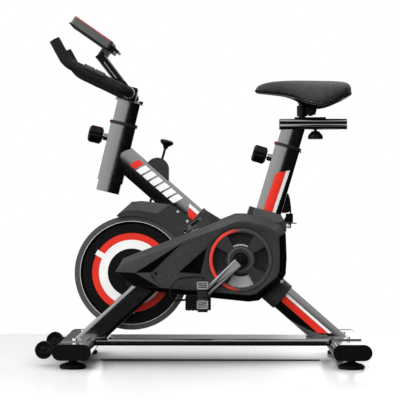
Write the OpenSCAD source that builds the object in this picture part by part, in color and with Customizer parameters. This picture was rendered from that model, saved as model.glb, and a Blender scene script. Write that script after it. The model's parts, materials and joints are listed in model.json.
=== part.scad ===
// Indoor spin bike, an assembly of separate parts.
// X runs from the handlebar (-X) to the saddle (+X), Y across the bike, Z up.
// The origin is on the floor, under the middle of the bike. The belt side is -Y.

/* [Base] */
// Distance between the front and rear stabilizer centres
wheelbase = 874; // [860:1:880]
// X of the front stabilizer's centre
front_x = -406; // [-410:1:-402]
// Length of each stabilizer across the bike, with its end caps
stabilizer_l = 500; // [480:10:560]
// Width of the flat-oval stabilizer tube
stabilizer_w = 120; // [116:1:122]
// Height of the stabilizer tube's centre above the floor
stabilizer_z = 54; // [54:1:56]
// Transport wheel radius
wheel_r = 28; // [24:1:30]
// Radius of each levelling foot's pad
foot_r = 42; // [34:1:45]

/* [Frame] */
// Width of the frame tubes, seen from the side
tube_w = 84; // [84:1:86]
// Thickness of the frame tubes, across the bike
tube_t = 50; // [50:1:52]
// Wall of the frame tubes
tube_wall = 2; // [2:0.25:2.5]
// Lean of the handlebar sleeve from vertical
head_lean = 13.46; // [13.4:0.02:13.6]
// Lean of the seat sleeve from vertical
seat_lean = 16.5; // [16.3:0.1:16.7]
// Width of the fork legs, seen from the side
leg_w = 69; // [66:1:70]
// Distance from the centre plane to the middle of a fork leg
leg_y = 60; // [59:1:61]

/* [Adjustment] */
// Spacing of the adjustment holes in both posts
hole_pitch = 30; // [30:1:30]
// Radius of the pull pins
pin_r = 4.8; // [4:0.1:4.8]
// How far below the seat sleeve's mouth its pin sits
seat_pin_drop = 53; // [50:1:56]

/* [Drive] */
// Flywheel outer radius
flywheel_r = 187; // [180:1:187]
// Flywheel rim thickness
rim_t = 36; // [30:2:40]
// Crank arm length, centre to centre
crank_l = 172; // [165:1:175]
// Angle of the left crank arm below horizontal, towards the front
crank_angle = 43; // [42:1:46]
// Radius of the large belt pulley on the crank
big_pulley_r = 90; // [86:1:92]
// Radius of the small belt pulley on the flywheel axle
small_pulley_r = 16; // [14:1:16]
// Y of the belt's middle plane
belt_y = -92; // [-93:0.5:-91]

/* [Handlebar] */
// Distance of each handlebar arm from the centre plane
arm_y = 170; // [160:1:180]
// Radius of the steel handlebar
bar_r = 12.5; // [11:0.5:13]
// Radius of the foam grips
foam_r = 18; // [17:0.5:18]
// Rise of the straight part of each arm above horizontal
arm_rise = 25.5; // [24:0.5:27]
// Rise of the hand grip at the end of each arm
grip_rise = 61.5; // [58:0.5:64]

/* [Hidden] */
$fn = 96;

// Running clearance, all round
gap = 0.05;
// Small depth that makes cutters pass right through a face
cut = 1;

rear_x = front_x + wheelbase;
stabilizer_h = 48;
stabilizer_top = stabilizer_z + stabilizer_h / 2;
plate_t = 4;
cap_l = 6;
foot_y = 200;
rear_bolt_y = 80;
front_bolt_y = 140;
bolt_r = 4;
wheel_x = front_x - 98;
wheel_z = 51;
wheel_y = 145;
wheel_w = 24;
ear_t = 3;

// Frame tube sections: width, thickness, and the radius with which the side faces bulge
main_size = [tube_w, tube_t, 90];
head_size = [tube_w, tube_t + 2, 100];
seat_size = [tube_w - 2, tube_t - 2, 82];
corner_r = 14;

// Handlebar sleeve: its lower end, and how long it is
head_p = [-304.5, 588];
head_l = 192;
head_pin_s = 140.4;
// Seat sleeve: its mouth, and how far it runs down into the main tube
seat_p = [280.3, 705.4];
seat_tube_l = 415;
// Main tube: a point on its axis at the handlebar sleeve
main_p = [-264.1, 670.5];
main_lean = 131.2;
main_l = 960;
// Where the collar behind the flywheel guard starts and ends along the main tube
collar_s = [312, 345];
// Fork legs: a point on their axis near the floor
leg_p = [-350, 93];
leg_lean = 47.2;
leg_t = 30;
leg_l = 493;
cross_p = [12, 428];
cross_r = 22;

axle_p = [-233, 289.6];
crank_p = [122.5, 336];
bearing_r = 17.5;
bearing_w = 12;
shaft_r = 8.5;
bearing_y = 46;
pulley_w = 12;
belt_t = 3;

cover_y = -118;
cover_back_y = -80;
right_cover_y = 104;
recess_r = 103;
skin = 3;

post_top = head_l + 77;
bar_p = [-235, 871];
// Length of an arm from the cross bar to the corner that its bend rounds off
arm_l = 214;
bend_r = 70;
elbow_r = 30;
grip_l = 78.6;

console_p = [-358.8, 1071.2];
console_l = 150;
console_w = 150;
console_tilt = 34.9;

rail_z = 759;
rail_h = 35;
rail_w = 50;
rail_x = [252, 472];
carriage_x = [302, 403];
stem_x = 326;
stem_r = 11;
tilt_p = [355, 822];
slider_x = 370;

brake_p = [-134, 660];
brake_lean = 15.5;
rod_r = 4;

pedal_y = [146, 226];
arm_in_y = 124;
arm_out_y = 140;

frame_black = [0.05, 0.05, 0.055];
cover_black = [0.13, 0.13, 0.135];
plastic_black = [0.07, 0.07, 0.07];
red = [0.93, 0.22, 0.16];
steel = [0.72, 0.73, 0.75];
rubber_black = [0.03, 0.03, 0.03];

// ---- shared shapes ----

// Places its children at a point of the XZ plane with local Z along a member
module along(p, lean, y = 0) {
    translate([p[0], y, p[1]]) rotate([0, lean, 0]) children();
}

// Extrudes a drawing of the XZ plane from y0 to y1
module slab(y0, y1) {
    translate([0, y1, 0]) rotate([90, 0, 0]) linear_extrude(y1 - y0) children();
}

// A round bar across the bike
module bar_y(p, r, y0, y1) {
    slab(y0, y1) translate(p) circle(r);
}

module rounded_2d(w, h, r) {
    square([w - 2 * r, h], center = true);
    square([w, h - 2 * r], center = true);
    for (x = [-1, 1], y = [-1, 1])
        translate([x * (w / 2 - r), y * (h / 2 - r)]) circle(r);
}

// Section of a frame tube, set in from the outer face by `inset`
module tube_2d(size, inset = 0) {
    intersection() {
        rounded_2d(size[0] - 2 * inset, size[1] - 2 * inset, corner_r - inset);
        translate([0, size[2] - size[1] / 2]) circle(size[2] - inset);
        translate([0, size[1] / 2 - size[2]]) circle(size[2] - inset);
    }
}

module tube(size, from, to, inset = 0) {
    translate([0, 0, from]) linear_extrude(to - from) tube_2d(size, inset);
}

module oval_2d(inset = 0) {
    h = stabilizer_h - 2 * inset;
    square([stabilizer_w - stabilizer_h, h], center = true);
    for (x = [-1, 1]) translate([x * (stabilizer_w - stabilizer_h) / 2, 0]) circle(h / 2);
}

module hexagon(across, h) {
    cylinder(r = across / sqrt(3), h = h, $fn = 6);
}

// A lobed pull knob, its open end at local Z 0
module lobed_knob(r, h, bore, depth) {
    difference() {
        union() {
            translate([0, 0, 6]) cylinder(r = r, h = h - 12);
            translate([0, 0, h - 6]) cylinder(r1 = r, r2 = r - 6, h = 6);
            cylinder(r1 = r - 8, r2 = r, h = 6);
        }
        for (a = [0:60:300]) rotate([0, 0, a + 30]) translate([r + 3, 0, -cut])
            cylinder(r = 7, h = h + 2 * cut);
        translate([0, 0, -cut]) cylinder(r = bore, h = depth + cut);
    }
}

// ---- frame ----

// Everything above the middle of the base plates
module above_plates() {
    intersection() {
        children();
        translate([-600, -100, stabilizer_top + plate_t / 2]) cube([1200, 200, 1000]);
    }
}

module fork_legs() {
    inside = 20;
    above_plates() for (s = [-1, 1]) along(leg_p, leg_lean, s * leg_y) difference() {
        translate([0, 0, -60]) linear_extrude(leg_l + 85) rounded_2d(leg_w, leg_t, 12);
        translate([0, 0, -60 - cut]) linear_extrude(leg_l + 85 - inside)
            rounded_2d(leg_w - 2 * tube_wall, leg_t - 2 * tube_wall, 12 - tube_wall);
    }
}

module dropouts() {
    for (s = [-1, 1]) slab(s * 54 - 8, s * 54 + 8) {
        translate(axle_p) circle(26);
        polygon([axle_p + [-24, -8], axle_p + [26, 4], axle_p + [86, -50], axle_p + [20, -112]]);
    }
}

module base_plates() {
    translate([rear_x - 43, -100, stabilizer_top]) cube([86, 200, plate_t]);
    translate([rear_x - 128, -45, stabilizer_top]) cube([100, 90, plate_t]);
    translate([front_x - 40, -160, stabilizer_top]) cube([80, 320, plate_t]);
    translate([front_x, -85, stabilizer_top]) cube([98, 170, plate_t]);
}

// Flat beam on the floor side, between the stabilizers
module floor_beam() {
    half_w = stabilizer_w / 2 + gap;
    translate([front_x + half_w, 0, stabilizer_top - 10.5]) rotate([0, 90, 0])
        linear_extrude(wheelbase - 2 * half_w) difference() {
            rounded_2d(23, 150, 8);
            rounded_2d(19, 146, 6);
        }
}

module pin_boss() {
    translate([-tube_w / 2 - 14, 0, 0]) rotate([0, 90, 0]) cylinder(r = 12, h = 15);
}

module main_frame() {
    color(frame_black) difference() {
        union() {
            above_plates() along(main_p, main_lean) difference() {
                tube(main_size, -10, main_l);
                tube(main_size, 30, main_l + cut, tube_wall);
            }
            along(seat_p, seat_lean) difference() {
                tube(seat_size, -seat_tube_l, 0);
                tube(seat_size, -seat_tube_l - cut, cut, tube_wall);
            }
            along(head_p, head_lean) tube(head_size, 0, head_l);
            fork_legs();
            for (s = [-1, 1]) bar_y(cross_p, cross_r, s * 46 - 26, s * 46 + 26);
            bar_y(crank_p, 25, -62, 62);
            dropouts();
            base_plates();
            floor_beam();
            along(head_p, head_lean) translate([0, 0, head_pin_s]) pin_boss();
            along(seat_p, seat_lean) translate([0, 0, -seat_pin_drop]) pin_boss();
        }
        along(head_p, head_lean) tube(head_size, -cut, head_l + cut, tube_wall);
        for (p = [crank_p, axle_p]) bar_y(p, bearing_r, -63, 63);
        along(brake_p, brake_lean) translate([0, 0, -190]) cylinder(r = rod_r + 0.5, h = 190);
        along(head_p, head_lean) translate([0, 0, head_pin_s]) pin_bore();
        along(seat_p, seat_lean) translate([0, 0, -seat_pin_drop]) pin_bore();
        for (s = [-1, 1]) {
            translate([rear_x, s * rear_bolt_y, 70]) cylinder(r = bolt_r + 0.3, h = 20);
            translate([front_x, s * front_bolt_y, 70]) cylinder(r = bolt_r + 0.3, h = 20);
        }
    }
}

// Bore for a pull pin, with a wider seat for its spring
module pin_bore() {
    rotate([0, -90, 0]) {
        cylinder(r = pin_r + gap, h = 70);
        translate([0, 0, tube_w / 2 + 2]) cylinder(r = 9, h = 30);
    }
}

module wheel_ear_2d() {
    difference() {
        union() {
            translate([wheel_x, wheel_z]) circle(12);
            translate([wheel_x, wheel_z - 10]) square([47, 20]);
        }
        translate([wheel_x, wheel_z]) circle(5 + gap);
    }
}

module stabilizer(x, bolt_y) {
    half = stabilizer_l / 2 - cap_l;
    difference() {
        slab(-half, half) translate([x, stabilizer_z]) oval_2d();
        slab(-300, 300) translate([x, stabilizer_z]) oval_2d(tube_wall);
        for (s = [-1, 1]) {
            translate([x, s * bolt_y, 60]) cylinder(r = bolt_r + 0.3, h = 30);
            translate([x, s * foot_y, 20]) cylinder(r = 5 + gap, h = 20);
        }
    }
}

module front_stabilizer() {
    color(frame_black) {
        difference() {
            union() {
                stabilizer(front_x, front_bolt_y);
                for (s = [-1, 1], e = [-1, 1]) {
                    y = s * wheel_y + e * (wheel_w / 2 + 1 + ear_t / 2);
                    slab(y - ear_t / 2, y + ear_t / 2) wheel_ear_2d();
                }
            }
            slab(-300, 300) translate([front_x, stabilizer_z]) oval_2d(tube_wall);
        }
    }
}

module rear_stabilizer() {
    color(frame_black) stabilizer(rear_x, rear_bolt_y);
}

module stabilizer_caps() {
    half = stabilizer_l / 2;
    color(plastic_black) for (x = [front_x, rear_x], s = [0, 1]) mirror([0, s, 0]) {
        slab(half - cap_l, half) translate([x, stabilizer_z]) oval_2d(-1);
        slab(half - cap_l - 16, half - cap_l) translate([x, stabilizer_z]) oval_2d(tube_wall + gap);
    }
}

// A hex bolt with its head on a face at local Z 0
module hex_bolt(r, l) {
    hexagon(2.1 * r * 1.6, 1.3 * r);
    translate([0, 0, -l]) cylinder(r = r, h = l);
}

module frame_bolts() {
    top = stabilizer_top + plate_t;
    color(steel) {
        for (s = [-1, 1]) {
            translate([rear_x, s * rear_bolt_y, top]) hex_bolt(bolt_r, 20);
            translate([front_x, s * front_bolt_y, top]) hex_bolt(bolt_r, 20);
            translate([wheel_x, s * (wheel_y + wheel_w / 2 + 1 + ear_t), wheel_z])
                rotate([-90 * s, 0, 0]) hex_bolt(5, wheel_w + 2 + 2 * ear_t + 6);
        }
    }
}

module foot(x, s) {
    color(rubber_black) translate([x, s * foot_y, 0]) rotate_extrude() polygon([[0, 0],
        [foot_r - 2, 0], [foot_r, 3], [foot_r, 9], [foot_r - 8, 14], [14, 20], [12, 28],
        [5, 28], [5, 50], [0, 50]]);
}

module front_left_foot() { foot(front_x, -1); }
module front_right_foot() { foot(front_x, 1); }
module rear_left_foot() { foot(rear_x, -1); }
module rear_right_foot() { foot(rear_x, 1); }

module transport_wheel(s) {
    color(rubber_black) difference() {
        bar_y([wheel_x, wheel_z], wheel_r, s * wheel_y - wheel_w / 2, s * wheel_y + wheel_w / 2);
        bar_y([wheel_x, wheel_z], 5 + gap, s * wheel_y - wheel_w, s * wheel_y + wheel_w);
        for (e = [-1, 1]) slab(s * wheel_y + e * wheel_w / 2 - 3, s * wheel_y + e * wheel_w / 2 + 3)
            translate([wheel_x, wheel_z]) difference() {
                circle(wheel_r - 6);
                circle(9);
            }
    }
}

module left_wheel() { transport_wheel(-1); }
module right_wheel() { transport_wheel(1); }

// ---- covers ----

// Side outline of the belt cover
module cover_2d() {
    polygon([[-280, 298], [-255, 340], [-87, 407], [56, 462], [108, 483], [141, 483], [214, 467],
        [251, 447], [268, 422], [271, 344], [268, 291], [255, 267], [181, 205], [149, 201],
        [30, 213], [-136, 231], [-221, 251]]);
}

module left_cover() {
    color(cover_black) difference() {
        slab(cover_y, cover_back_y) cover_2d();
        slab(cover_y + skin, cover_back_y + cut) offset(delta = -skin) cover_2d();
        bar_y(crank_p, recess_r, cover_y - cut, cover_y + 20);
        bar_y([-149, 293], 3, cover_y - cut, cover_y + 20);
        bar_y([254, 268], 3, cover_y - cut, cover_y + 20);
    }
}

module left_cover_back() {
    color(cover_black) difference() {
        slab(cover_back_y, cover_back_y + 2) cover_2d();
        bar_y(crank_p, 30, cover_back_y - cut, cover_back_y + 4);
        bar_y(axle_p, 24, cover_back_y - cut, cover_back_y + 4);
    }
}

// The round cover in the recess, with four wedge openings between its spokes
module cover_disc() {
    color(cover_black) difference() {
        slab(cover_y + 2, cover_y + 6) translate(crank_p) difference() {
            circle(recess_r - gap);
            for (a = [0:90:270]) rotate(a) intersection() {
                difference() {
                    circle(88);
                    circle(46);
                }
                polygon([[0, 0], [100, 54], [100, -54]]);
            }
            circle(24);
        }
    }
}

module right_cover() {
    color(cover_black) difference() {
        slab(-cover_back_y, right_cover_y) intersection() {
            cover_2d();
            polygon([[-150, 350], [-60, 500], [300, 500], [300, 150], [-60, 150]]);
        }
        slab(-cover_back_y - cut, right_cover_y - skin) offset(delta = -skin) intersection() {
            cover_2d();
            polygon([[-150, 350], [-60, 500], [300, 500], [300, 150], [-60, 150]]);
        }
        bar_y(crank_p, 24, right_cover_y - 20, right_cover_y + cut);
    }
}

// Shrouds that close the space between the covers around the tubes
module tube_collars() {
    half = -cover_back_y - 2.1;
    color(cover_black) difference() {
        union() {
            slab(-half, half) polygon([[140, 462], [155, 508], [253, 481], [270, 452],
                [271, 425], [150, 448]]);
            along(main_p, main_lean) translate([0, 0, collar_s[0]])
                linear_extrude(collar_s[1] - collar_s[0]) rounded_2d(100, 64, 20);
            for (s = [-1, 1]) slab(s * 30 - 1.5, s * 30 + 1.5) difference() {
                polygon([[-53, 424], [-50, 443.5], [-32, 457.5], [-6, 476], [15, 492], [59, 465],
                    [80, 440], [60, 412], [0, 402]]);
                translate(cross_p) circle(cross_r + 4 * gap);
            }
            along(main_p, main_lean) translate([0, 0, 640]) linear_extrude(59)
                rounded_2d(94, 76, 20);
        }
        along(seat_p, seat_lean) tube(seat_size, -seat_tube_l - 20, 0, -0.1);
        along(main_p, main_lean) tube(main_size, 0, main_l, -0.1);
    }
}

module cover_screws() {
    color(steel) {
        for (p = [[-149, 293], [254, 268]]) translate([p[0], cover_y, p[1]])
            rotate([-90, 0, 0]) {
                cylinder(r = 3 - gap, h = 12);
                translate([0, 0, -2]) cylinder(r = 5, h = 2);
            }
        for (p = [[-81, 490], [-50, 459]], s = [-1, 1]) mirror([0, s == 1 ? 1 : 0, 0])
            translate([p[0], -31.05, p[1]]) rotate([90, 0, 0]) cylinder(r = 4.5, h = 2.5);
    }
}

// Guard over the flywheel, fixed to both sides of the main tube
module flywheel_guard() {
    color(cover_black) difference() {
        union() {
            for (s = [-1, 1]) slab(s * 29.5 - 1.5, s * 29.5 + 1.5) difference() {
                polygon([[-282, 476], [-232, 522], [-202, 525], [-104, 514], [-89, 505],
                    [-48, 476], [-33, 459], [-51, 445], [-54, 424], [-92, 400], [-120, 386]]);
                translate(axle_p) circle(flywheel_r - 1);
            }
            slab(-31, 31) polygon([[-282, 476], [-232, 522], [-202, 525], [-168, 521],
                [-168, 518], [-202, 522], [-231, 519], [-278, 475.7]]);
        }
        bar_y(axle_p, flywheel_r + 5, -27.9, 27.9);
        along(main_p, main_lean) translate([-51, -40, collar_s[0] - 0.3])
            cube([102, 80, collar_s[1] - collar_s[0] + 1]);
        along(brake_p, brake_lean) translate([0, 0, -190]) cylinder(r = rod_r + 1.5, h = 190);
    }
}

// Small hood on top of the main tube, where the tension rod goes in
module tension_hood() {
    color(cover_black) difference() {
        slab(-18, 18) {
            translate([-149, 629]) circle(38);
            translate([-149, 560]) square([37.8, 69]);
        }
        along(main_p, main_lean) translate([-tube_w / 2 - gap, -40, 0]) cube([200, 80, 500]);
        along(brake_p, brake_lean) translate([0, 0, -120]) cylinder(r = rod_r + 0.5, h = 160);
    }
}

// ---- drive ----

module bearing_ring(p, y) {
    slab(y, y + bearing_w) translate(p) difference() {
        circle(bearing_r - gap);
        circle(shaft_r + gap);
    }
}

module bearings() {
    color(steel) for (p = [axle_p, crank_p], s = [0, 1]) mirror([0, s, 0]) bearing_ring(p, bearing_y);
}

// A loop around both pulleys, `grow` outside their radii
module belt_2d(grow) {
    hull() {
        translate(axle_p) circle(small_pulley_r + grow);
        translate(crank_p) circle(big_pulley_r + grow);
    }
}

module drive_belt() {
    color(rubber_black) slab(belt_y - pulley_w / 2 + 1, belt_y + pulley_w / 2 - 1) difference() {
        belt_2d(belt_t);
        belt_2d(0.3);
    }
}

module flywheel() {
    edge = rim_t / 2;
    color(frame_black) translate([axle_p[0], 0, axle_p[1]]) rotate([90, 0, 0]) rotate_extrude()
        polygon([[shaft_r + gap, -24], [30, -24], [34, -8], [160, -8], [168, -edge],
            [flywheel_r - 1, -edge], [flywheel_r, -edge + 1], [flywheel_r, edge - 1],
            [flywheel_r - 1, edge], [168, edge], [160, 8], [34, 8], [30, 24],
            [shaft_r + gap, 24]]);
}

module flywheel_axle() {
    color(steel) bar_y(axle_p, shaft_r, belt_y - 10, 66);
}

module small_pulley() {
    color(steel) slab(belt_y - pulley_w / 2, belt_y + pulley_w / 2) translate(axle_p) difference() {
        circle(small_pulley_r);
        circle(shaft_r + gap);
    }
}

module crank_axle() {
    color(steel) bar_y(crank_p, shaft_r, -arm_out_y + 2, arm_out_y - 2);
}

module drive_pulley() {
    color(steel) difference() {
        slab(belt_y - pulley_w / 2, belt_y + pulley_w / 2) translate(crank_p) circle(big_pulley_r);
        slab(belt_y - pulley_w, belt_y - 2) translate(crank_p) difference() {
            circle(big_pulley_r - 8);
            circle(24);
        }
        bar_y(crank_p, shaft_r + gap, -130, -80);
    }
}

module crank_arm_2d() {
    difference() {
        union() {
            circle(19);
            translate([-crank_l, 0]) circle(14);
            polygon([[0, 15], [0, -15], [-crank_l, -12], [-crank_l, 12]]);
        }
        circle(shaft_r + gap);
        translate([-crank_l, 0]) circle(7 + gap);
    }
}

module crank_arms() {
    color(steel) {
        slab(-arm_out_y, -arm_in_y) translate(crank_p) rotate(crank_angle) crank_arm_2d();
        slab(arm_in_y, arm_out_y) translate(crank_p) rotate(crank_angle + 180) crank_arm_2d();
    }
}

// Axis of the left (-1) or right (1) pedal
function pedal_p(s) = crank_p + s * crank_l * [cos(crank_angle), sin(crank_angle)];

module pedal_spindles() {
    color(steel) {
        bar_y(pedal_p(-1), 7, -pedal_y[1] + 10, -arm_in_y);
        bar_y(pedal_p(1), 7, arm_in_y, pedal_y[1] - 10);
    }
}

// Outline of a pedal, its axis at the origin and its toe end at -X
module pedal_2d() {
    difference() {
        translate([-9, -13]) rounded_2d(80, 46, 6);
        for (x = [-42:11:24]) translate([x, -36.5]) circle(2.6);
        circle(7 + gap);
    }
}

module pedal(s) {
    y = s < 0 ? -pedal_y[1] : pedal_y[0];
    color(plastic_black) slab(y, y + pedal_y[1] - pedal_y[0])
        translate(pedal_p(s)) rotate(s < 0 ? 0 : -90) pedal_2d();
}

module left_pedal() { pedal(-1); }
module right_pedal() { pedal(1); }

// Toe cage and strap of a pedal
module toe_cage(s) {
    mid = s * (pedal_y[0] + pedal_y[1]) / 2;
    color(plastic_black) {
        slab(mid - 34, mid + 34) translate(pedal_p(s)) rotate(s < 0 ? 0 : -90) difference() {
            translate([-57, 32]) difference() {
                rounded_2d(88, 72, 30);
                rounded_2d(82, 66, 27);
            }
            translate([-49 - gap, -44]) square([120, 54 + gap]);
            translate([-13, -14]) square([40, 100]);
        }
        slab(mid - 38, mid + 38) translate(pedal_p(s)) rotate(s < 0 ? 0 : -90)
            translate([-12.9, 10.1]) difference() {
                square([34, 47]);
                translate([2, 2]) square([30, 43]);
            }
    }
}

module left_toe_cage() { toe_cage(-1); }
module right_toe_cage() { toe_cage(1); }

// ---- posts, bushes and pull pins ----

// Liner in a sleeve's mouth at local Z 0, with a cap that reaches `skirt` down outside it
module bush(size, skirt, top, pin_s) {
    difference() {
        union() {
            tube(size, -115, top - 1, tube_wall + gap);
            tube(size, -skirt, top, -3);
        }
        tube(size, -200, top + 20, tube_wall + 2);
        translate([0, 0, -skirt - cut]) linear_extrude(skirt + cut + gap) difference() {
            tube_2d(size, -gap);
            tube_2d(size, tube_wall + gap);
        }
        translate([0, 0, pin_s]) rotate([0, -90, 0]) cylinder(r = pin_r + 1, h = 70);
    }
}

module post_bushes() {
    color(plastic_black) {
        along(head_p, head_lean) translate([0, 0, head_l])
            bush(head_size, 3, 8, head_pin_s - head_l);
        along(seat_p, seat_lean) bush(seat_size, 8, 3, -seat_pin_drop);
    }
}

post_inset = tube_wall + 2 + gap;

module handlebar_post() {
    color(frame_black) along(head_p, head_lean) {
        difference() {
            tube(head_size, -35, post_top, post_inset);
            tube(head_size, -36, post_top + cut, post_inset + tube_wall);
            for (i = [-4:2]) translate([0, 0, head_pin_s + i * hole_pitch]) rotate([0, -90, 0])
                cylinder(r = pin_r + 0.7, h = 60);
        }
        translate([0, 0, post_top]) linear_extrude(5) rounded_2d(92, 50, 8);
    }
}

module seat_post() {
    color(frame_black) difference() {
        along(seat_p, seat_lean) difference() {
            tube(seat_size, -240, 100, post_inset);
            tube(seat_size, -241, 101, post_inset + tube_wall);
            for (i = [-5:1]) translate([0, 0, -seat_pin_drop + i * hole_pitch]) rotate([0, -90, 0])
                cylinder(r = pin_r + 0.7, h = 60);
        }
        translate([200, -50, rail_z]) cube([200, 100, 100]);
    }
}

// A pull pin, its tip in the post's front wall
module pull_pin() {
    rotate([0, -90, 0]) {
        translate([0, 0, 33]) cylinder(r = pin_r, h = 47);
        translate([0, 0, tube_w / 2 + 3]) cylinder(r = 8, h = 3);
    }
}

module pull_spring() {
    rotate([0, -90, 0]) translate([0, 0, tube_w / 2 + 6.2]) for (i = [0:2])
        translate([0, 0, 1 + i * 2.4]) rotate_extrude() translate([7, 0]) circle(0.8, $fn = 24);
}

module pull_knob() {
    rotate([0, -90, 0]) translate([0, 0, 59]) lobed_knob(28, 46, pin_r + gap, 22);
}

module handlebar_pin() {
    color(steel) along(head_p, head_lean) translate([0, 0, head_pin_s]) pull_pin();
}

module handlebar_spring() {
    color(steel) along(head_p, head_lean) translate([0, 0, head_pin_s]) pull_spring();
}

module handlebar_knob() {
    color(plastic_black) along(head_p, head_lean) translate([0, 0, head_pin_s]) pull_knob();
}

module seat_pin() {
    color(steel) along(seat_p, seat_lean) translate([0, 0, -seat_pin_drop]) pull_pin();
}

module seat_spring() {
    color(steel) along(seat_p, seat_lean) translate([0, 0, -seat_pin_drop]) pull_spring();
}

module seat_knob() {
    color(plastic_black) along(seat_p, seat_lean) translate([0, 0, -seat_pin_drop]) pull_knob();
}

// ---- handlebar and console ----

// Where the arm's straight part starts: one elbow radius along it from the cross bar
arm_dir = [-cos(arm_rise), sin(arm_rise)];
grip_dir = [-cos(grip_rise), sin(grip_rise)];
arm_bend_p = bar_p + arm_l * arm_dir;
bend_l = bend_r * tan((grip_rise - arm_rise) / 2);
straight_l = arm_l - bend_l;

// Straight lengths are this much slimmer than the bends, and run this far into them
slim = 0.02;
lap = 0.8;

// A round bar from the elbow to the arm's end, with its bend, for one arm
module arm_sweep(r, from, extra) {
    along(bar_p, arm_rise - 90) {
        translate([0, 0, from]) cylinder(r = r - slim, h = straight_l - from + lap);
        translate([bend_r, 0, straight_l]) rotate([90, 0, 0])
            rotate([0, 0, 180 - grip_rise + arm_rise])
                rotate_extrude(angle = grip_rise - arm_rise) translate([bend_r, 0]) circle(r);
    }
    along(arm_bend_p + (bend_l - lap) * grip_dir, grip_rise - 90)
        cylinder(r = r - slim, h = grip_l + extra - bend_l + lap);
}

module bar_sweep(r, extra) {
    bar_y(bar_p, r - slim, -arm_y + elbow_r - lap, arm_y - elbow_r + lap);
    for (s = [0, 1]) mirror([0, s, 0]) translate([0, arm_y, 0]) {
        arm_sweep(r, elbow_r - lap, extra);
        along(bar_p, arm_rise - 90) translate([0, -elbow_r, elbow_r]) rotate([0, 90, 0])
            rotate_extrude(angle = 90) translate([elbow_r, 0]) circle(r);
    }
}

module handlebar() {
    color(frame_black) difference() {
        bar_sweep(bar_r, -3);
        bar_sweep(bar_r - tube_wall, -2);
    }
}

// A length of foam tube with an open bore
module foam(l) {
    difference() {
        cylinder(r = foam_r - slim, h = l);
        translate([0, 0, -cut]) cylinder(r = bar_r + gap + slim, h = l + 2 * cut);
    }
}

// The foam is laid on in three lengths, the last with a closed end
module grips() {
    from = elbow_r + 4;
    end_l = grip_l - bend_l + lap;
    color(rubber_black) for (s = [0, 1]) mirror([0, s, 0]) translate([0, arm_y, 0]) {
        along(bar_p, arm_rise - 90) {
            translate([0, 0, from]) foam(straight_l - from + lap);
            translate([bend_r, 0, straight_l]) rotate([90, 0, 0])
                rotate([0, 0, 180 - grip_rise + arm_rise])
                    rotate_extrude(angle = grip_rise - arm_rise) translate([bend_r, 0]) difference() {
                        circle(foam_r);
                        circle(bar_r + gap);
                    }
        }
        along(arm_bend_p + (bend_l - lap) * grip_dir, grip_rise - 90) {
            foam(end_l);
            translate([0, 0, end_l - cut]) cylinder(r = foam_r - 2 * slim, h = 3 + cut);
        }
    }
}

// Two contact plates on top of each arm
module pulse_sensors() {
    color(steel) for (s = [0, 1]) mirror([0, s, 0]) translate([0, arm_y, 0])
        along(bar_p, arm_rise - 90) for (z = [88, 126]) translate([0, 0, z]) difference() {
            cylinder(r = foam_r + 4, h = 34);
            translate([0, 0, -cut]) cylinder(r = foam_r + gap, h = 40);
            translate([-100 + 8, -50, -cut]) cube([100, 100, 40]);
        }
}

module handlebar_clamp() {
    color(plastic_black) difference() {
        along(head_p, head_lean) {
            translate([0, 0, post_top + 5]) linear_extrude(41) rounded_2d(38, 44, 5);
            for (x = [-38, 38]) translate([x, 0, post_top + 5]) hexagon(13, 6);
        }
        bar_y(bar_p, bar_r + gap, -60, 60);
        along(head_p, head_lean) translate([-60, -50, post_top + 27]) cube([120, 100, 1.5]);
    }
}

bracket_p = [-262, 905];
bracket_lean = -37.4;
bracket_l = 128;

// A channel that carries the console
module console_bracket() {
    color(steel) difference() {
        union() {
            along(bracket_p, bracket_lean) translate([-16, -23, -14]) cube([30, 46, bracket_l + 14]);
            along(head_p, head_lean) translate([-19, -21, post_top + 46]) cube([35, 42, 4]);
        }
        along(bracket_p, bracket_lean) translate([-17, -20, -30]) cube([28, 40, bracket_l + 60]);
        along(head_p, head_lean) translate([-60, -40, post_top - 54]) cube([120, 80, 100]);
    }
}

module in_console() {
    translate([console_p[0], 0, console_p[1]]) rotate([0, console_tilt, 0]) children();
}

module console_housing() {
    color([0.3, 0.3, 0.31]) difference() {
        union() {
            in_console() translate([0, 0, -14]) linear_extrude(25.5) rounded_2d(console_l, console_w, 10);
            in_console() translate([-4, 0, -17]) linear_extrude(3.5) rounded_2d(console_l, console_w, 10);
            in_console() translate([50, -20, -44]) cube([29, 40, 28]);
            in_console() translate([console_l / 2 - 5, -52, -16]) cube([22, 104, 20]);
            in_console() translate([console_l / 2 + 15, -52, -4]) cube([14, 104, 6]);
        }
        in_console() translate([0, 0, -11]) linear_extrude(30) rounded_2d(console_l - 6, console_w - 6, 7);
        along(bracket_p, bracket_lean) translate([-30, -23.1, -20]) cube([44.1, 46.2, bracket_l + 20.05]);
    }
}

module console_face() {
    color(red) in_console() difference() {
        translate([0, 0, 11.5]) linear_extrude(2.5) rounded_2d(console_l, console_w, 10);
        translate([0, 0, 9]) linear_extrude(10) translate([-12, 0]) rounded_2d(92, 112, 6);
        translate([54, 0, 9]) cylinder(r = 12 + gap, h = 10);
    }
}

module console_screen() {
    color([0.02, 0.03, 0.04]) in_console() translate([-12, 0, 10]) linear_extrude(3)
        rounded_2d(92 - 2 * gap, 112 - 2 * gap, 6 - gap);
}

module console_button() {
    color([0.8, 0.8, 0.8]) in_console() translate([54, 0, 10.5]) cylinder(r = 12, h = 5);
}

// ---- saddle ----

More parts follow.
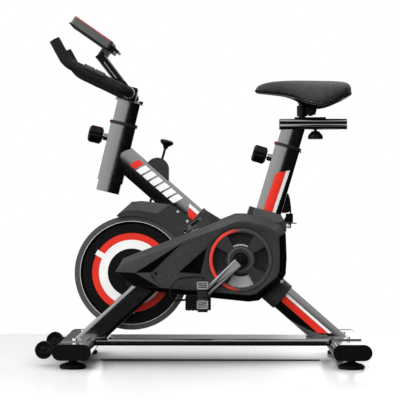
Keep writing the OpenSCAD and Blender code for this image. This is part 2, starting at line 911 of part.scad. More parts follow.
module seat_rail() {
    color(frame_black) difference() {
        translate([rail_x[0], 0, rail_z + rail_h / 2]) rotate([0, 90, 0])
            linear_extrude(rail_x[1] - rail_x[0]) difference() {
                rounded_2d(rail_h, rail_w, 9);
                rounded_2d(rail_h - 6, rail_w - 14, 2);
                for (s = [-1, 1]) translate([0, s * (rail_w / 2 + 6)]) circle(9);
            }
        translate([carriage_x[0] - 20, -11, rail_z + 20]) cube([180, 22, 30]);
        translate([slider_x - 16, -6.5, rail_z - 10]) cube([92, 13, 30]);
    }
}

module seat_carriage() {
    top = rail_z + rail_h;
    l = carriage_x[1] - carriage_x[0];
    color(steel) difference() {
        union() {
            translate([carriage_x[0], -22, top + gap]) cube([l, 44, 5]);
            translate([carriage_x[0] + 4, -10.5, top - 8]) cube([l - 8, 21, 10]);
            translate([carriage_x[0] + 4, -16, top - 12]) cube([l - 8, 32, 8.8]);
            translate([stem_x, 0, top]) cylinder(r = stem_r, h = 51);
        }
        translate([slider_x, 0, 700]) cylinder(r = 5 + gap, h = 92);
    }
}

module slider_knob() {
    color(plastic_black) translate([slider_x, 0, 0]) {
        difference() {
            rotate_extrude() polygon([[0, 728], [24, 728], [25, 731], [24, 740], [17, 748],
                [12, 754], [0, 754]]);
            for (a = [0:45:315]) rotate([0, 0, a]) translate([28, 0, 720]) cylinder(r = 5, h = 40);
        }
        translate([0, 0, 753]) cylinder(r = 5, h = 36);
    }
}

module saddle_clamp() {
    top = rail_z + rail_h + 5;
    color(plastic_black) difference() {
        union() {
            translate([stem_x, 0, top + 4]) cylinder(r = stem_r + 6, h = 34);
            slab(-14, 14) translate([stem_x, tilt_p[1] - 14]) square([44, 28]);
            bar_y(tilt_p, 4, -32, 32);
            bar_y(tilt_p, 8, 26.1, 32);
            bar_y(tilt_p, 8, -32, -26.1);
        }
        translate([stem_x, 0, top - 10]) cylinder(r = stem_r + gap, h = 80);
    }
}

// A round wire in the XZ plane from a to b, with a weld bead at its end
module wire(a, b, r, y) {
    d = b - a;
    along(a, atan2(d[0], d[1]), y) {
        cylinder(r = r, h = norm(d));
        translate([0, 0, norm(d)]) sphere(r + 0.9);
    }
}

module saddle_rails() {
    color(steel) for (s = [-1, 1]) {
        difference() {
            union() {
                wire([308, 862], [326, 838], 3.5, s * 22);
                wire([326, 838], [395, 838], 3.5, s * 22);
                wire([395, 838], [430, 860], 3.5, s * 22);
                slab(s * 20.1 - 5.9, s * 20.1 + 5.9) translate(tilt_p) circle(17);
            }
            bar_y(tilt_p, 4 + gap, -40, 40);
            translate([200, -40, 863.9]) cube([300, 80, 30]);
        }
    }
}

// The saddle's whole form, set in by `inset`
module saddle_form(inset = 0) {
    hull() {
        translate([193, 0, 894]) sphere(21 - inset, $fn = 32);
        for (s = [-1, 1]) {
            translate([285, s * 24, 890]) sphere(29 - inset, $fn = 32);
            translate([385, s * 82, 870]) sphere(34 - inset, $fn = 32);
            translate([440, s * 74, 882]) sphere(36 - inset, $fn = 32);
        }
    }
}

module saddle_shell() {
    color(plastic_black) difference() {
        saddle_form();
        translate([0, -200, 868]) cube([600, 400, 200]);
        intersection() {
            saddle_form(4);
            translate([0, -200, 700]) cube([600, 400, 164]);
        }
        translate([100, -130, 800]) cube([500, 260, 42]);
        translate([290, -40, 800]) cube([150, 80, 64]);
    }
}

module saddle_cushion() {
    color([0.19, 0.19, 0.19]) difference() {
        saddle_form();
        translate([0, -200, 700]) cube([600, 400, 168 + gap]);
    }
}

// ---- tension brake ----

module brake_rod() {
    color(steel) along(brake_p, brake_lean) translate([0, 0, -175]) cylinder(r = rod_r, h = 233);
}

module brake_pad() {
    color([0.4, 0.26, 0.18]) slab(-15, 15) intersection() {
        translate(axle_p) difference() {
            circle(flywheel_r + 21);
            circle(flywheel_r + 4);
        }
        translate(axle_p) polygon([[0, 0], 260 * [sin(5), cos(5)], 260 * [sin(24), cos(24)]]);
    }
}

module tension_knob() {
    color(plastic_black) along(brake_p, brake_lean) difference() {
        translate([0, 0, 38]) rotate_extrude() polygon([[0, 0], [7, 0], [9, 8], [20, 17],
            [22.5, 20], [22.5, 24], [18, 29], [0, 30]]);
        cylinder(r = rod_r + gap, h = 58 + gap);
    }
}

main_frame();
front_stabilizer();
rear_stabilizer();
stabilizer_caps();
frame_bolts();
left_cover();
left_cover_back();
cover_disc();
right_cover();
tube_collars();
cover_screws();
flywheel_guard();
tension_hood();
post_bushes();
bearings();
drive_belt();
handlebar_post();
handlebar();
handlebar_clamp();
grips();
pulse_sensors();
console_bracket();
console_housing();
console_face();
console_screen();
console_button();
handlebar_pin();
handlebar_knob();
handlebar_spring();
seat_pin();
seat_knob();
seat_spring();
seat_post();
seat_rail();
seat_carriage();
saddle_clamp();
slider_knob();
saddle_rails();
saddle_shell();
saddle_cushion();
brake_rod();
brake_pad();
tension_knob();
flywheel();
flywheel_axle();
small_pulley();
crank_axle();
drive_pulley();
crank_arms();
pedal_spindles();
left_pedal();
right_pedal();
left_toe_cage();
right_toe_cage();
left_wheel();
right_wheel();
front_left_foot();
front_right_foot();
rear_left_foot();
rear_right_foot();
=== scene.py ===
"""Looks of the indoor spin bike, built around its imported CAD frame. Lengths are in millimetres until mm()."""

import json
import math
import random

import bmesh
import bpy
from mathutils import Matrix, Vector


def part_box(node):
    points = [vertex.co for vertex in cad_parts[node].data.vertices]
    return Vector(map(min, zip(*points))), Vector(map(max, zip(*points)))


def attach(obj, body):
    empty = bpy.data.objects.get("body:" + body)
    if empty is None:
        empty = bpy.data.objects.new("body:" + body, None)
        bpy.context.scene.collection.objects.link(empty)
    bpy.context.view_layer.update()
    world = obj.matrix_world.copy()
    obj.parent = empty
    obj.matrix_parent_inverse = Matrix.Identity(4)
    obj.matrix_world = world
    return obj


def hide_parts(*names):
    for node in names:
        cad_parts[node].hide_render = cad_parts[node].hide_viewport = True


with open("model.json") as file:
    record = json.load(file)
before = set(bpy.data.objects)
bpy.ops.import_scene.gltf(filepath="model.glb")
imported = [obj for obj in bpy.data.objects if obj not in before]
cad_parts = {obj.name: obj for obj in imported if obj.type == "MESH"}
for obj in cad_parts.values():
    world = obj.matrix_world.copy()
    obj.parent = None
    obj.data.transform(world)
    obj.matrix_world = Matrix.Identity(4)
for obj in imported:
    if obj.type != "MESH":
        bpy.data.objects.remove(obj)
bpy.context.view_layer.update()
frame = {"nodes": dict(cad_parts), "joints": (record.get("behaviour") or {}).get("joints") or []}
NODES = frame["nodes"]
MM = 0.001
rng = random.Random(7)


def mm(x, y, z):
    return Vector((x, y, z)) * MM


def joint_point(name):
    """Centre of a hinge in millimetres."""
    joint = next(j for j in frame["joints"] if j["name"] == name)
    return Vector(joint["pos_m"]) / MM


AXLE = joint_point("flywheel_spin")
CRANK = joint_point("crank_spin")


# ---- materials ----

class Shader:
    """A Principled material with short calls for adding nodes to it."""

    def __init__(self, name):
        self.material = bpy.data.materials.new(name)
        self.material.use_nodes = True
        self.tree = self.material.node_tree
        self.bsdf = self.tree.nodes["Principled BSDF"]
        self.place = self.add("ShaderNodeTexCoord").outputs["Object"]

    def add(self, kind, **settings):
        node = self.tree.nodes.new(kind)
        for key, value in settings.items():
            setattr(node, key, value)
        return node

    def link(self, source, target):
        self.tree.links.new(source, target)

    def noise(self, size, detail=3.0, stretch=(1, 1, 1)):
        """Noise whose features are `size` millimetres across."""
        place = self.add("ShaderNodeMapping")
        place.inputs["Scale"].default_value = stretch
        self.link(self.place, place.inputs["Vector"])
        node = self.add("ShaderNodeTexNoise")
        node.inputs["Scale"].default_value = 1 / (size * MM)
        node.inputs["Detail"].default_value = detail
        self.link(place.outputs["Vector"], node.inputs["Vector"])
        return node.outputs["Fac"]

    def cells(self, size, feature="F1"):
        node = self.add("ShaderNodeTexVoronoi", feature=feature)
        node.inputs["Scale"].default_value = 1 / (size * MM)
        self.link(self.place, node.inputs["Vector"])
        return node.outputs["Distance"]

    def ramp(self, value, low, high, to_low=0.0, to_high=1.0):
        node = self.add("ShaderNodeMapRange")
        self.link(value, node.inputs["Value"])
        for key, number in (("From Min", low), ("From Max", high), ("To Min", to_low), ("To Max", to_high)):
            node.inputs[key].default_value = number
        return node.outputs["Result"]

    def math(self, operation, a, b):
        node = self.add("ShaderNodeMath", operation=operation)
        for socket, value in zip(node.inputs, (a, b)):
            if isinstance(value, (int, float)):
                socket.default_value = value
            else:
                self.link(value, socket)
        return node.outputs["Value"]

    def mix(self, factor, a, b):
        node = self.add("ShaderNodeMix", data_type="RGBA")
        for socket, value in ((node.inputs[0], factor), (node.inputs[6], a), (node.inputs[7], b)):
            if isinstance(value, tuple):
                socket.default_value = (*value, 1)
            elif isinstance(value, (int, float)):
                socket.default_value = value
            else:
                self.link(value, socket)
        return node.outputs[2]

    def bump(self, height, depth, strength=1.0):
        """Adds a bump `depth` millimetres high on top of any bump already there."""
        node = self.add("ShaderNodeBump")
        node.inputs["Distance"].default_value = depth * MM
        node.inputs["Strength"].default_value = strength
        self.link(height, node.inputs["Height"])
        if self.bsdf.inputs["Normal"].is_linked:
            self.link(self.bsdf.inputs["Normal"].links[0].from_socket, node.inputs["Normal"])
        self.link(node.outputs["Normal"], self.bsdf.inputs["Normal"])


def shade(color, factor):
    return tuple(min(1.0, c * factor) for c in color)


def surface(name, color, rough, metallic=0.0, coat=0.0, mottle=0.12, specular=0.5, edge=0.0):
    """A finish whose colour and roughness vary over the part, with a painted highlight along sharp edges."""
    s = Shader(name)
    cloud = s.ramp(s.noise(38, 4.0), 0.3, 0.7)
    tone = s.mix(cloud, shade(color, 1 - mottle), shade(color, 1 + mottle))
    if edge:
        # sharp edges are lightened, broken up by noise: a painted highlight
        edge_highlight = s.add("ShaderNodeNewGeometry").outputs["Pointiness"]
        spread = s.ramp(s.noise(4, 5.0), 0.35, 0.75)
        tone = s.mix(s.math("MULTIPLY", s.ramp(edge_highlight, 0.54, 0.62), spread), tone, shade(color, 1 + edge))
    s.link(tone, s.bsdf.inputs["Base Color"])
    s.link(s.ramp(s.noise(11, 5.0), 0.3, 0.7, rough * 0.8, rough * 1.25), s.bsdf.inputs["Roughness"])
    s.bsdf.inputs["Metallic"].default_value = metallic
    s.bsdf.inputs["Coat Weight"].default_value = coat
    s.bsdf.inputs["Coat Roughness"].default_value = 0.06
    s.bsdf.inputs["Specular IOR Level"].default_value = specular
    return s


def painted(name, color):
    """Sprayed gloss paint with a faint orange peel."""
    s = surface(name, color, 0.14, coat=1.0, mottle=0.2, specular=0.9, edge=3.0)
    s.bump(s.noise(2.2, 2.0), 0.02, 0.35)
    s.bump(s.noise(70, 1.0), 0.25, 0.12)
    return s.material


def moulded(name, color, rough=0.42, grain=0.06, specular=0.15):
    """Moulded plastic with a spark-eroded grain."""
    s = surface(name, color, rough, mottle=0.1, specular=specular, edge=0.9)
    s.bump(s.noise(0.7, 3.0), grain, 0.6)
    return s.material


def rubber(name, color):
    s = surface(name, color, 0.72, mottle=0.25, specular=0.06, edge=1.5)
    s.bump(s.noise(0.5, 4.0), 0.08, 0.8)
    s.bump(s.noise(9, 3.0), 0.2, 0.25)
    return s.material


def foam(name, color):
    """Closed-cell foam: small pores over a soft, uneven skin."""
    s = surface(name, color, 0.78, mottle=0.22, specular=0.1)
    s.bump(s.cells(1.3), 0.22, 0.7)
    s.bump(s.noise(0.45, 4.0), 0.08, 0.6)
    return s.material


def leather(name, color):
    """Coated seat fabric with a pebble grain."""
    s = surface(name, color, 0.5, mottle=0.14, specular=0.15)
    pebble = s.cells(1.7, "SMOOTH_F1")
    crease = s.ramp(s.cells(1.7, "DISTANCE_TO_EDGE"), 0.0, 0.12)
    s.bump(crease, 0.07, 0.7)
    s.bump(pebble, 0.05, 0.4)
    s.bump(s.noise(24, 3.0), 0.5, 0.25)
    return s.material


def machined(name, color, rough, stretch=(1, 1, 12)):
    """Metal with fine drawn lines along one direction."""
    s = surface(name, color, rough, metallic=1.0, mottle=0.08)
    s.bump(s.noise(1.2, 4.0, stretch), 0.02, 0.5)
    s.bump(s.noise(14, 3.0), 0.05, 0.2)
    return s.material


def vinyl(name, color):
    """Printed film on the paint, with a soft gloss."""
    s = surface(name, color, 0.35, mottle=0.035, specular=0.15)
    s.bump(s.noise(3, 2.0), 0.02, 0.3)
    return s.material


def felt(name, color):
    s = surface(name, color, 0.95, mottle=0.3, specular=0.1)
    s.bump(s.noise(0.8, 6.0, (1, 6, 1)), 0.5, 0.9)
    return s.material


def webbing(name, dark, light):
    """Woven strap: fine crossing ribs and broad light bands across it."""
    s = surface(name, dark, 0.8, mottle=0.2, specular=0.2)
    weave = s.add("ShaderNodeTexWave", bands_direction="Z", wave_type="BANDS")
    weave.inputs["Scale"].default_value = 1 / (6 * MM)
    weave.inputs["Distortion"].default_value = 0.4
    s.link(s.place, weave.inputs["Vector"])
    cross = s.add("ShaderNodeTexWave", bands_direction="Y", wave_type="BANDS")
    cross.inputs["Scale"].default_value = 1 / (5 * MM)
    s.link(s.place, cross.inputs["Vector"])
    s.bump(s.math("MULTIPLY", weave.outputs["Fac"], cross.outputs["Fac"]), 0.35, 0.9)
    bands = s.add("ShaderNodeTexWave", bands_direction="Z", wave_type="BANDS")
    bands.inputs["Scale"].default_value = 1 / (34 * MM)
    s.link(s.place, bands.inputs["Vector"])
    tone = s.mix(s.ramp(bands.outputs["Fac"], 0.62, 0.7), dark, light)
    s.link(tone, s.bsdf.inputs["Base Color"])
    return s.material


def flywheel_paint(name):
    """Black paint inside a grey machined rim; the bright line at the rim's inner edge is a painted highlight on its
    chamfer.
    """
    s = surface(name, (0.0022, 0.0022, 0.0024), 0.4, coat=0.04, mottle=0.3, specular=0.08)
    centre = s.add("ShaderNodeVectorMath", operation="SUBTRACT")
    centre.inputs[1].default_value = AXLE * MM
    s.link(s.place, centre.inputs[0])
    flat = s.add("ShaderNodeVectorMath", operation="MULTIPLY")
    flat.inputs[1].default_value = (1, 0, 1)
    s.link(centre.outputs["Vector"], flat.inputs[0])
    length = s.add("ShaderNodeVectorMath", operation="LENGTH")
    s.link(flat.outputs["Vector"], length.inputs[0])
    radius = length.outputs["Value"]
    on_rim = s.ramp(radius, 0.1679, 0.1681)
    # bright line at the rim's inner edge: a painted highlight on the chamfer
    line = s.math("MULTIPLY", on_rim, s.ramp(radius, 0.1694, 0.1696, 1.0, 0.0))
    lathe = s.add("ShaderNodeTexNoise")
    lathe.inputs["Scale"].default_value = 1.0
    rings = s.add("ShaderNodeCombineXYZ")
    s.link(s.math("MULTIPLY", radius, 2600.0), rings.inputs["X"])
    s.link(rings.outputs["Vector"], lathe.inputs["Vector"])
    grey = s.mix(s.ramp(lathe.outputs["Fac"], 0.3, 0.7), (0.05, 0.05, 0.05), (0.095, 0.095, 0.095))
    old = s.bsdf.inputs["Base Color"].links[0].from_socket
    s.link(s.mix(line, s.mix(on_rim, old, grey), (0.75, 0.72, 0.7)), s.bsdf.inputs["Base Color"])
    s.bump(s.math("MULTIPLY", on_rim, lathe.outputs["Fac"]), 0.03, 0.5)
    s.bump(s.noise(1.6, 3.0), 0.04, 0.4)
    return s.material


FRAME = painted("gloss_black_paint", (0.003, 0.003, 0.0032))
COVER = moulded("cover_charcoal", (0.026, 0.026, 0.0265), 0.4)
COLLAR = moulded("collar_grey", (0.055, 0.055, 0.056), 0.38)
BLACK = moulded("black_plastic", (0.0022, 0.0022, 0.0025), 0.4, specular=0.07)
CONSOLE = moulded("console_grey", (0.09, 0.09, 0.088), 0.5)
BUSH = moulded("bush_grey", (0.012, 0.012, 0.012), 0.35)
SHIELD = moulded("shield_grey", (0.3, 0.3, 0.3), 0.5)
RED_PLASTIC = moulded("red_plastic", (0.7, 0.035, 0.022), 0.32)
RED = vinyl("red_film", (0.72, 0.03, 0.017))
WHITE = vinyl("white_film", (0.86, 0.86, 0.85))
STEEL = machined("zinc_steel", (0.6, 0.6, 0.62), 0.28)
DARK_METAL = machined("sensor_metal", (0.045, 0.045, 0.046), 0.3)
CRANK_METAL = machined("crank_metal", (0.26, 0.26, 0.265), 0.36, (12, 1, 1))
CRANK_METAL.node_tree.nodes["Principled BSDF"].inputs["Metallic"].default_value = 0.55
IRON = flywheel_paint("flywheel_paint")
RUBBER = rubber("rubber", (0.003, 0.003, 0.003))
FOAM = foam("grip_foam", (0.012, 0.012, 0.012))
LEATHER = leather("saddle_cover", (0.022, 0.022, 0.0225))
PIPING = rubber("saddle_piping", (0.002, 0.002, 0.002))
FELT = felt("brake_felt", (0.2, 0.12, 0.07))
STRAP = webbing("toe_strap", (0.006, 0.006, 0.006), (0.02, 0.02, 0.02))
BUCKLE = moulded("buckle_grey", (0.22, 0.22, 0.22), 0.35)
SCREEN = moulded("console_glass", (0.01, 0.014, 0.016), 0.08, 0.0)


# ---- building pieces ----

def piece(name, bm, material, body, smooth=32, replaces=()):
    """Turns a bmesh in metres into a named piece that rides on a body."""
    mesh = bpy.data.meshes.new(name)
    bmesh.ops.recalc_face_normals(bm, faces=bm.faces)
    bm.to_mesh(mesh)
    bm.free()
    mesh.materials.append(material)
    obj = bpy.data.objects.new(name, mesh)
    bpy.context.scene.collection.objects.link(obj)
    soften(obj, smooth)
    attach(obj, body)
    if replaces:
        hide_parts(*replaces)
    return obj


def soften(obj, angle):
    obj.data.shade_smooth()
    obj.data.set_sharp_from_angle(angle=math.radians(angle))


def bevel(bm, width, segments=2, angle=28):
    """Rounds every edge sharper than `angle`."""
    limit = math.radians(angle)
    edges = [e for e in bm.edges if len(e.link_faces) == 2 and e.calc_face_angle(0) > limit]
    bmesh.ops.bevel(bm, geom=edges, offset=width * MM, segments=segments, profile=0.6,
                    affect="EDGES", clamp_overlap=True)


def slab(outline, y0, y1, edge=0.0):
    """An XZ outline in millimetres, extruded from y0 to y1."""
    bm = bmesh.new()
    low = [bm.verts.new(mm(x, y0, z)) for x, z in outline]
    high = [bm.verts.new(mm(x, y1, z)) for x, z in outline]
    bm.faces.new(low)
    bm.faces.new(reversed(high))
    for i in range(len(outline)):
        j = (i + 1) % len(outline)
        bm.faces.new((low[i], low[j], high[j], high[i]))
    if edge:
        bevel(bm, edge)
    return bm


def circle(x, z, radius, count=96, start=0.0, stop=360.0):
    """Points round a circle, or along an arc of it, in the XZ plane."""
    closed = abs(stop - start) >= 360
    steps = count if closed else count - 1
    turn = [math.radians(start + (stop - start) * i / steps) for i in range(count)]
    return [(x + radius * math.cos(a), z + radius * math.sin(a)) for a in turn]


def lathe(profile, centre, axis, count=96):
    """Revolves (radius, height) points about an axis through centre."""
    turn = Vector((0, 0, 1)).rotation_difference(Vector(axis).normalized()).to_matrix()
    bm = bmesh.new()
    rings = []
    for radius, height in profile:
        ring = []
        for i in range(count):
            a = 2 * math.pi * i / count
            point = turn @ Vector((radius * math.cos(a), radius * math.sin(a), height))
            ring.append(bm.verts.new((Vector(centre) + point) * MM))
        rings.append(ring)
    for a, b in zip(rings, rings[1:] + rings[:1]):
        for i in range(count):
            j = (i + 1) % count
            bm.faces.new((a[i], a[j], b[j], b[i]))
    bmesh.ops.remove_doubles(bm, verts=bm.verts, dist=1e-6)
    return bm


def sweep(points, section, closed=False):
    """Sweeps a section, a function from index to a list of (side, up) offsets, along points in millimetres."""
    bm = bmesh.new()
    count = len(points)
    rings = []
    up = None
    for i, p in enumerate(points):
        ahead = points[(i + 1) % count] if closed or i < count - 1 else points[i]
        behind = points[i - 1] if closed or i else points[i]
        tangent = (ahead - behind).normalized()
        if up is None:
            up = Vector((0, 0, 1)) if abs(tangent.z) < 0.9 else Vector((1, 0, 0))
        side = tangent.cross(up).normalized()
        up = side.cross(tangent).normalized()
        rings.append([bm.verts.new((p + side * a + up * b) * MM) for a, b in section(i)])
    pairs = zip(rings, rings[1:] + rings[:1]) if closed else zip(rings, rings[1:])
    for a, b in pairs:
        for i in range(len(a)):
            j = (i + 1) % len(a)
            bm.faces.new((a[i], a[j], b[j], b[i]))
    if not closed:
        bm.faces.new(rings[0])
        bm.faces.new(reversed(rings[-1]))
    return bm


def round_section(radius, count=20):
    turn = [2 * math.pi * i / count for i in range(count)]
    return [(radius * math.cos(a), radius * math.sin(a)) for a in turn]


def flat_section(width, height, corner=0.8):
    """A strap's section with eased corners."""
    w, h, c = width / 2, height / 2, corner
    return [(-w, -h + c), (-w + c, -h), (w - c, -h), (w, -h + c),
            (w, h - c), (w - c, h), (-w + c, h), (-w, h - c)]


def dress(names, material, edge=0.6):
    """Gives CAD nodes a finish and small rounded edges."""
    for name in names.split():
        obj = NODES[name]
        obj.data.materials.clear()
        obj.data.materials.append(material)
        if edge:
            weld = obj.modifiers.new("weld", "WELD")
            weld.merge_threshold = 0.00003
            round_edges = obj.modifiers.new("round", "BEVEL")
            round_edges.width = edge * MM
            round_edges.segments = 2
            round_edges.limit_method = "ANGLE"
            round_edges.angle_limit = math.radians(38)
            normals = obj.modifiers.new("normals", "WEIGHTED_NORMAL")
            normals.keep_sharp = True


def accent(names, material, test):
    """Gives a second finish to the faces of CAD nodes whose centre, in millimetres, passes the test."""
    for name in names.split():
        mesh = NODES[name].data
        mesh.materials.append(material)
        for polygon in mesh.polygons:
            if test(polygon.center / MM, polygon.normal):
                polygon.material_index = len(mesh.materials) - 1


dress("main_frame", FRAME, 0.0)
dress("front_stabilizer rear_stabilizer handlebar_post seat_post handlebar", FRAME, 0.0)
dress("seat_rail", FRAME, 0.8)
dress("left_cover left_cover_back cover_disc right_cover tube_collars flywheel_guard tension_hood", COVER)
dress("stabilizer_caps handlebar_clamp handlebar_knob seat_knob slider_knob tension_knob", BLACK, 1.0)
dress("saddle_clamp left_pedal right_pedal saddle_rails seat_carriage brake_rod console_bracket", BLACK, 0.8)
dress("left_toe_cage right_toe_cage saddle_shell", BLACK, 0.0)
dress("frame_bolts cover_screws bearings handlebar_pin seat_pin handlebar_spring seat_spring", STEEL, 0.3)
dress("flywheel_axle crank_axle pedal_spindles small_pulley", STEEL, 0.0)
dress("drive_pulley", BUSH, 0.4)
dress("pulse_sensors", BUSH, 0.8)
dress("crank_arms", CRANK_METAL, 3.6)
dress("flywheel", IRON, 0.0)
dress("post_bushes", BUSH, 1.4)
dress("drive_belt left_wheel right_wheel", RUBBER, 0.6)
dress("front_left_foot front_right_foot rear_left_foot rear_right_foot", RUBBER, 0.6)
dress("grips", FOAM, 0.0)
dress("console_housing", CONSOLE, 1.0)
dress("console_face", RED_PLASTIC, 0.5)
dress("console_screen", SCREEN, 0.0)
dress("console_button", BUSH, 0.3)
dress("saddle_cushion", LEATHER, 0.0)
dress("brake_pad", FELT, 0.4)


def paint_accents():
    low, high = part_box("console_button")
    key = (low + high) / 2 / MM
    up = Vector(next(j for j in frame["joints"] if j["name"] == "console_key_press")["axis"])
    up = up if up.z > 0 else -up
    down = Vector((up.z, 0, -up.x))
    # the console's back plate and its ledge are black
    accent("console_housing", BLACK, lambda c, n: -30.5 < (c - key).dot(up) < -26.4
           or (c - key).dot(down) > 21.2 and (c - key).dot(up) > -30.5)
    accent("crank_arms crank_axle", BLACK, lambda c, n: math.hypot(c.x - CRANK.x, c.z - CRANK.z) < 20.5)
    accent("frame_bolts", BLACK, lambda c, n: c.x < -480)
    # the screw in the belt cover's groove is black: painted shade
    accent("cover_screws", BLACK, lambda c, n: c.x < 0 and c.y < -100)


paint_accents()


# ---- belt cover ----

def left_cover():
    """Faceted belt cover. Depth is measured outwards from the cover's back edge."""
    low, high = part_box("left_cover")
    back, full = high.y / MM, (high.y - low.y) / MM
    bm = bmesh.new()

    def vert(x, z, depth):
        return bm.verts.new(mm(x, back - depth, z))

    outline = [(-280, 298), (-255, 340), (-87, 407), (56, 462), (108, 483), (141, 483), (214, 467),
               (251, 447), (268, 422), (271, 344), (268, 291), (255, 267), (181, 205), (149, 201),
               (30, 213), (-136, 231), (-221, 251)]
    inner = {2: (-57.5, 396), 3: (62, 439), 4: (108, 458), 5: (139, 459), 6: (207, 443), 7: (233, 427),
             8: (245, 411), 9: (247, 343), 10: (245, 297), 11: (236, 281), 12: (172, 229), 13: (149, 224),
             14: (34, 234), 15: (-134, 248)}
    wall = [21 if i in (0, 16) else 17 for i in range(len(outline))]
    rim = [vert(x, z, depth) for (x, z), depth in zip(outline, wall)]
    foot = [vert(x, z, 0) for x, z in outline]
    face = {i: vert(x, z, full) for i, (x, z) in inner.items()}
    count = len(outline)
    for i in range(count):
        j = (i + 1) % count
        bm.faces.new((foot[i], foot[j], rim[j], rim[i]))
    # the bevels on the rear and lower sides take the black finish: painted shade
    for i in range(2, 15):
        bm.faces.new((rim[i], rim[i + 1], face[i + 1], face[i])).material_index = int(i > 7)
    # the pointed front end, with one ridge and a groove beside it
    brow = vert(-250, 325, full - 11)
    ridge = vert(-216, 295, full)
    notch = vert(-164, 295, full)
    sunk = vert(-164, 295, full - 17)
    for corner in ((rim[0], rim[1], brow), (rim[0], brow, ridge), (rim[1], rim[2], face[2], brow),
                   (brow, face[2], ridge), (notch, face[15], sunk), (ridge, sunk, face[15])):
        bm.faces.new(corner)
    # the groove and the underside of the point are black: painted shade
    for corner in ((ridge, face[2], sunk), (face[2], notch, sunk), (rim[0], ridge, rim[16]),
                   (ridge, face[15], rim[16]), (face[15], rim[15], rim[16])):
        bm.faces.new(corner).material_index = 1
    # a three-cornered pocket behind the groove, black inside as painted shade
    pocket = [(14, 375), (-7, 290), (-75.5, 296.5)]
    top, right, left = [vert(x, z, full) for x, z in pocket]
    deep_right, deep_left = [vert(x, z, full - 17) for x, z in pocket[1:]]
    for corner in ((top, deep_left, deep_right), (left, right, deep_right, deep_left),
                   (top, left, deep_left), (top, right, deep_right)):
        bm.faces.new(corner).material_index = 1
    # the round recess round the crank
    hole = [vert(x, z, full) for x, z in circle(CRANK.x, CRANK.z, 103.4, 96)]
    bed = [vert(x, z, full - 9) for x, z in circle(CRANK.x, CRANK.z, 103.4, 96)]
    for i in range(96):
        j = (i + 1) % 96
        bm.faces.new((hole[i], hole[j], bed[j], bed[i]))
    border = [face[i] for i in range(2, 16)] + [notch]
    edges = []
    for loop in (border, hole, [top, right, left]):
        for a, b in zip(loop, loop[1:] + loop[:1]):
            edges.append(bm.edges.get((a, b)) or bm.edges.new((a, b)))
    bmesh.ops.triangle_fill(bm, edges=edges, use_beauty=True, use_dissolve=False)
    bmesh.ops.dissolve_limit(bm, angle_limit=math.radians(0.5), verts=bm.verts, edges=bm.edges,
                             delimit={"NORMAL"})
    bevel(bm, 0.9, 2, 12)
    obj = piece("belt_cover", bm, COVER, "root", 25, ["left_cover"])
    # the black second finish is painted shade
    obj.data.materials.append(BLACK)
    thick = obj.modifiers.new("wall", "SOLIDIFY")
    thick.thickness = 1.6 * MM
    thick.offset = -1
    return obj


def fading_ring():
    """Coloured ring round the crank recess: red at the front, fading to dark at the back as painted shade."""
    s = surface("ring_red_with_painted_shade", (0.74, 0.033, 0.02), 0.3, coat=0.3, mottle=0.04)
    split = s.add("ShaderNodeSeparateXYZ")
    s.link(s.place, split.inputs[0])
    # the ring darkens towards the back: painted shade
    fade = s.ramp(split.outputs["X"], (CRANK.x - 42) * MM, (CRANK.x - 2) * MM)
    red = s.bsdf.inputs["Base Color"].links[0].from_socket
    s.link(s.mix(fade, red, (0.035, 0.035, 0.036)), s.bsdf.inputs["Base Color"])
    s.bump(s.noise(0.8, 3.0), 0.03, 0.5)
    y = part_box("cover_disc")[0].y / MM
    profile = [(90.5, y + 0.5), (90.5, y - 0.8), (91.6, y - 1.8), (99.4, y - 1.8), (100.5, y - 0.8),
               (100.5, y + 0.5)]
    bm = lathe(profile, (CRANK.x, 0, CRANK.z), (0, 1, 0), 128)
    piece("recess_ring", bm, s.material, "root")
    hub = [(33, y + 0.5), (33, y - 1.4), (34.5, y - 2.2), (39, y - 2.2), (41, y - 0.6), (41, y + 0.5)]
    bm = lathe(hub, (CRANK.x, 0, CRANK.z), (0, 1, 0), 96)
    piece("hub_ring", bm, COLLAR, "root")


# ---- films on the frame and the flywheel ----

class Tube:
    """A straight frame tube: s runs along it, t across its side face, both in millimetres."""

    def __init__(self, x, z, lean, thickness, bulge):
        self.start = Vector((x, 0, z))
        self.along = Vector((math.sin(math.radians(lean)), 0, math.cos(math.radians(lean))))
        self.across = Vector((self.along.z, 0, -self.along.x))
        self.thickness, self.bulge = thickness, bulge

    def at(self, s, t, lift, side):
        out = math.sqrt(self.bulge ** 2 - t ** 2) - self.bulge + self.thickness / 2 + lift
        return (self.start + self.along * s + self.across * t + Vector((0, side * out, 0))) * MM


MAIN = Tube(-264.1, 670.5, 131.2, 50, 90)
SEAT = Tube(280.3, 705.4, 16.5, 48, 82)


def film(name, tube, outline, material):
    """A printed film laid on both side faces of a tube."""
    for side, label in ((-1, "left"), (1, "right")):
        bm = bmesh.new()
        bm.faces.new([bm.verts.new((s, t, 0)) for s, t in outline])
        t = min(p[1] for p in outline) + 4
        while t < max(p[1] for p in outline):
            geometry = bm.verts[:] + bm.edges[:] + bm.faces[:]
            bmesh.ops.bisect_plane(bm, geom=geometry, plane_co=(0, t, 0), plane_no=(0, 1, 0))
            t += 4
        made = bmesh.ops.extrude_face_region(bm, geom=bm.faces[:])["geom"]
        lifted = {v for v in made if isinstance(v, bmesh.types.BMVert)}
        for v in bm.verts:
            v.co = tube.at(v.co.x, v.co.y, 0.32 if v in lifted else 0.03, side)
        piece(f"{name}_{label}", bm, material, "root")


def floor_end(t):
    """Where a stripe on the main tube stops above the rear base plate."""
    return (MAIN.start.z - 93 + MAIN.across.z * t) / -MAIN.along.z


